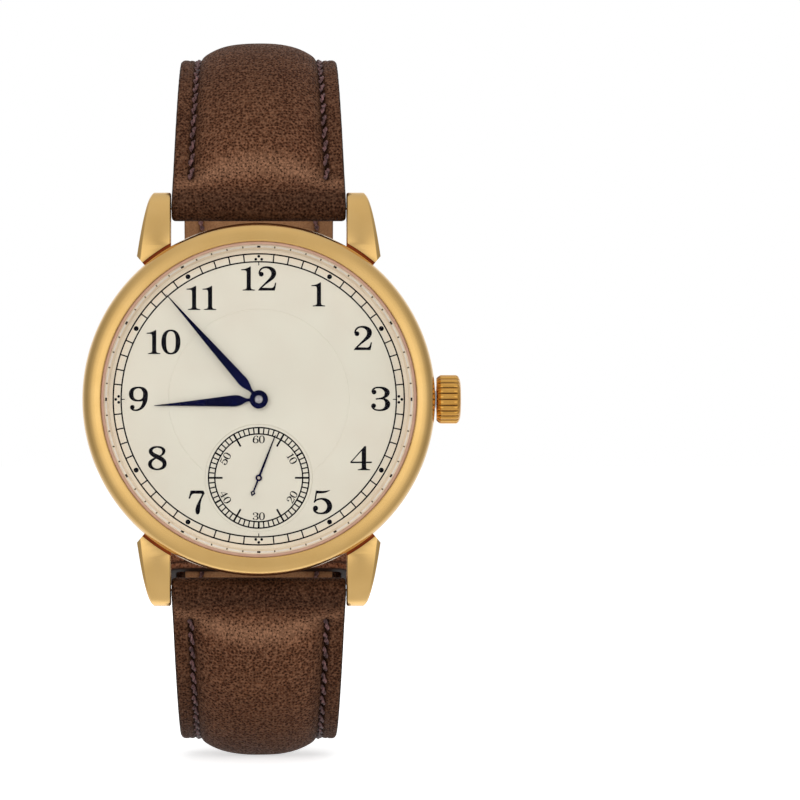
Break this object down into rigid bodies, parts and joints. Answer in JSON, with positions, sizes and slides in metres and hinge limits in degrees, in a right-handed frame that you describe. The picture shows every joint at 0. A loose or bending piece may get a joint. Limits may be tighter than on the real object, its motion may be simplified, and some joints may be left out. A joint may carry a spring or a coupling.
{
  "type": "wristwatch",
  "caption": "Round hand-wound wristwatch with cream numeral dial, small seconds, gold case and crown, on a padded stitched leather strap closed by a tang buckle",
  "frame": {"origin": "centre of the case back's flat outer face, which rests on the wrist", "axes": "+Y leaves the case back towards the wrist and the buckle, so the dial faces -Y; +Z points to 12 o'clock, along the strap loop's height; +X points to the crown at 3 o'clock"},
  "size_m": [0.043, 0.0583, 0.0834],
  "materials": {
    "gold_case": "yellow-gold plated, polished with a fine satin bezel",
    "gold_buckle": "bright yellow-gold plated, mirror polished",
    "crystal": "clear domed crystal, polished",
    "gasket": "translucent nylon",
    "rubber": "black sealing rubber",
    "dial": "cream lacquer with printed black numerals",
    "blued_steel": "dark blued steel, polished",
    "steel": "turned and polished steel",
    "brass_wheel": "brushed brass",
    "nickel": "nickel-plated, fine brushed",
    "leather_outer": "dark brown calfskin, fine grain, satin, stitched",
    "leather_lining": "mid brown lining leather, matt",
    "padding": "felt filler"
  },
  "bodies": {
    "case": {"case_middle": "gold_case", "bezel": "gold_case", "crystal": "crystal", "crystal_gasket": "gasket", "flange_ring": "gold_case", "case_back": "gold_case", "case_back_gasket": "rubber", "crown_tube": "steel", "dial": "dial", "movement_ring": "nickel", "main_plate": "nickel", "barrel_bridge": "nickel", "train_bridge": "nickel", "pallet_bridge": "nickel", "balance_cock": "nickel", "hairspring": "blued_steel", "spring_bar_top": "steel", "spring_bar_bottom": "steel", "strap_long_outer": "leather_outer", "strap_long_padding": "padding", "strap_long_lining": "leather_lining", "strap_short_outer": "leather_outer", "strap_short_padding": "padding", "strap_short_lining": "leather_lining", "fixed_keeper": "leather_outer"},
    "crown_seal": {"crown_gasket": "rubber"},
    "crown": {"crown": "gold_case", "winding_stem": "steel", "winding_pinion": "steel"},
    "crown_wheel": {"crown_wheel": "steel"},
    "ratchet": {"ratchet_wheel": "steel", "barrel_arbor": "steel"},
    "click": {"click": "steel"},
    "barrel": {"barrel_drum": "brass_wheel", "barrel_cover": "brass_wheel", "mainspring": "blued_steel"},
    "centre": {"centre_wheel": "brass_wheel", "cannon_pinion": "steel", "minute_hand": "blued_steel"},
    "third": {"third_wheel": "brass_wheel"},
    "fourth": {"fourth_wheel": "brass_wheel", "seconds_hand": "blued_steel"},
    "escape": {"escape_wheel": "steel"},
    "fork": {"pallet_fork": "steel"},
    "balance": {"balance_wheel": "brass_wheel"},
    "minute_wheel": {"minute_wheel": "brass_wheel"},
    "hour": {"hour_wheel": "brass_wheel", "hour_hand": "blued_steel"},
    "keeper": {"free_keeper": "leather_outer"},
    "buckle": {"buckle_frame": "gold_buckle", "buckle_bar": "steel"},
    "tongue": {"buckle_tongue": "gold_buckle"},
    "tip_top_left": {"spring_bar_tip_top_left": "steel"},
    "tip_top_right": {"spring_bar_tip_top_right": "steel"},
    "tip_bottom_left": {"spring_bar_tip_bottom_left": "steel"},
    "tip_bottom_right": {"spring_bar_tip_bottom_right": "steel"}
  },
  "joints": [
    {"name": "crown_pull", "type": "slide", "parent": "case", "child": "crown_seal", "axis": [1, 0, 0], "range_m": [0, 0.001]},
    {"name": "crown_turn", "type": "hinge", "parent": "crown_seal", "child": "crown", "pos_m": [0.021, -0.0032, 0], "axis": [1, 0, 0], "continuous": true},
    {"name": "crown_wheel_turn", "type": "hinge", "parent": "case", "child": "crown_wheel", "pos_m": [0.00579, -0.0015, 0], "axis": [0, 1, 0], "continuous": true},
    {"name": "ratchet_turn", "type": "hinge", "parent": "case", "child": "ratchet", "pos_m": [0.00326, -0.0015, 0.00564], "axis": [0, 1, 0], "continuous": true},
    {"name": "click_rock", "type": "hinge", "parent": "case", "child": "click", "pos_m": [-0.00118, -0.0015, 0.00725], "axis": [0, 1, 0], "range_deg": [0, 8]},
    {"name": "seconds_turn", "type": "hinge", "parent": "case", "child": "fourth", "pos_m": [0, -0.0036, -0.0089], "axis": [0, 1, 0], "continuous": true},
    {"name": "centre_turn", "type": "hinge", "parent": "case", "child": "centre", "pos_m": [0, -0.003, 0], "axis": [0, 1, 0], "continuous": true},
    {"name": "third_turn", "type": "hinge", "parent": "case", "child": "third", "pos_m": [0.00367, -0.003, -0.00512], "axis": [0, 1, 0], "continuous": true},
    {"name": "escape_turn", "type": "hinge", "parent": "case", "child": "escape", "pos_m": [-0.00403, -0.0033, -0.01037], "axis": [0, 1, 0], "continuous": true},
    {"name": "barrel_turn", "type": "hinge", "parent": "case", "child": "barrel", "pos_m": [0.00326, -0.0033, 0.00564], "axis": [0, 1, 0], "continuous": true},
    {"name": "minute_wheel_turn", "type": "hinge", "parent": "case", "child": "minute_wheel", "pos_m": [-0.00249, -0.0049, 0.00144], "axis": [0, 1, 0], "continuous": true},
    {"name": "hour_turn", "type": "hinge", "parent": "case", "child": "hour", "pos_m": [0, -0.0051, 0], "axis": [0, 1, 0], "continuous": true},
    {"name": "fork_rock", "type": "hinge", "parent": "case", "child": "fork", "pos_m": [-0.00497, -0.0033, -0.00778], "axis": [0, 1, 0], "range_deg": [-5, 5]},
    {"name": "balance_swing", "type": "hinge", "parent": "case", "child": "balance", "pos_m": [-0.00615, -0.0028, -0.00454], "axis": [0, 1, 0], "range_deg": [-135, 135]},
    {"name": "keeper_slide", "type": "hinge", "parent": "case", "child": "keeper", "pos_m": [0, -0.00165, -0.00251], "axis": [-1, 0, 0], "range_deg": [0, 8]},
    {"name": "buckle_swing", "type": "hinge", "parent": "case", "child": "buckle", "pos_m": [0, 0.04571, -0.0033], "axis": [-1, 0, 0], "range_deg": [0, 2]},
    {"name": "tongue_lift", "type": "hinge", "parent": "buckle", "child": "tongue", "pos_m": [0, 0.04571, -0.0033], "axis": [-1, 0, 0], "range_deg": [0, 3]},
    {"name": "tip_top_left_press", "type": "slide", "parent": "case", "child": "tip_top_left", "axis": [1, 0, 0], "range_m": [0, 0.0008], "stiffness_N_per_m": 400, "springref_m": -0.0008},
    {"name": "tip_top_right_press", "type": "slide", "parent": "case", "child": "tip_top_right", "axis": [-1, 0, 0], "range_m": [0, 0.0008], "stiffness_N_per_m": 400, "springref_m": -0.0008},
    {"name": "tip_bottom_left_press", "type": "slide", "parent": "case", "child": "tip_bottom_left", "axis": [1, 0, 0], "range_m": [0, 0.0008], "stiffness_N_per_m": 400, "springref_m": -0.0008},
    {"name": "tip_bottom_right_press", "type": "slide", "parent": "case", "child": "tip_bottom_right", "axis": [-1, 0, 0], "range_m": [0, 0.0008], "stiffness_N_per_m": 400, "springref_m": -0.0008}
  ],
  "couplings": [
    {"joint": "centre_turn", "follows": "seconds_turn", "ratio": 0.016667},
    {"joint": "third_turn", "follows": "seconds_turn", "ratio": -0.13333},
    {"joint": "escape_turn", "follows": "seconds_turn", "ratio": -10},
    {"joint": "barrel_turn", "follows": "seconds_turn", "ratio": -0.0027778},
    {"joint": "minute_wheel_turn", "follows": "seconds_turn", "ratio": -0.0055556},
    {"joint": "hour_turn", "follows": "seconds_turn", "ratio": 0.0013889},
    {"joint": "crown_wheel_turn", "follows": "crown_turn", "ratio": -0.4375},
    {"joint": "ratchet_turn", "follows": "crown_turn", "ratio": 0.35}
  ]
}
